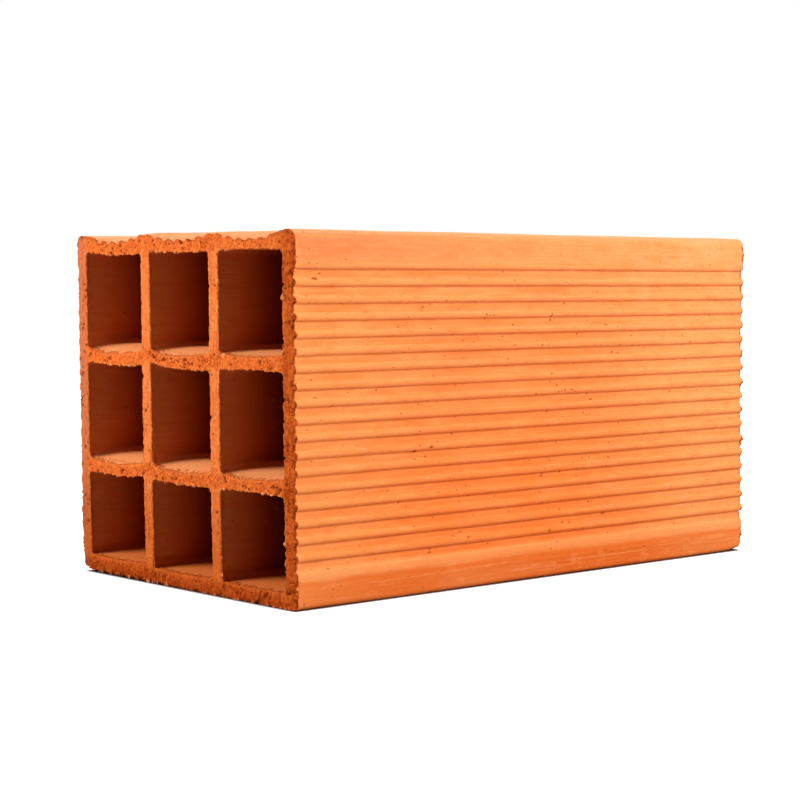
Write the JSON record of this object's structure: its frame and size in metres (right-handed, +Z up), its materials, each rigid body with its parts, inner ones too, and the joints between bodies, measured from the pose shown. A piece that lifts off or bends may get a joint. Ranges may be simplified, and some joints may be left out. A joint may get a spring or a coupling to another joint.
{
  "type": "clay brick",
  "caption": "Hollow fired-clay brick, a ridged square block with square cells running through it, for walls and partitions.",
  "frame": {"origin": "middle of the underside, on the floor that the brick lies on", "axes": "+X along the cells, +Y across the brick, +Z up, with the brick lying on a long face"},
  "size_m": [0.33, 0.18, 0.18],
  "materials": {
    "fired_clay": "matte, unglazed"
  },
  "bodies": {
    "root": {"clay_brick": "fired_clay"}
  },
  "joints": []
}
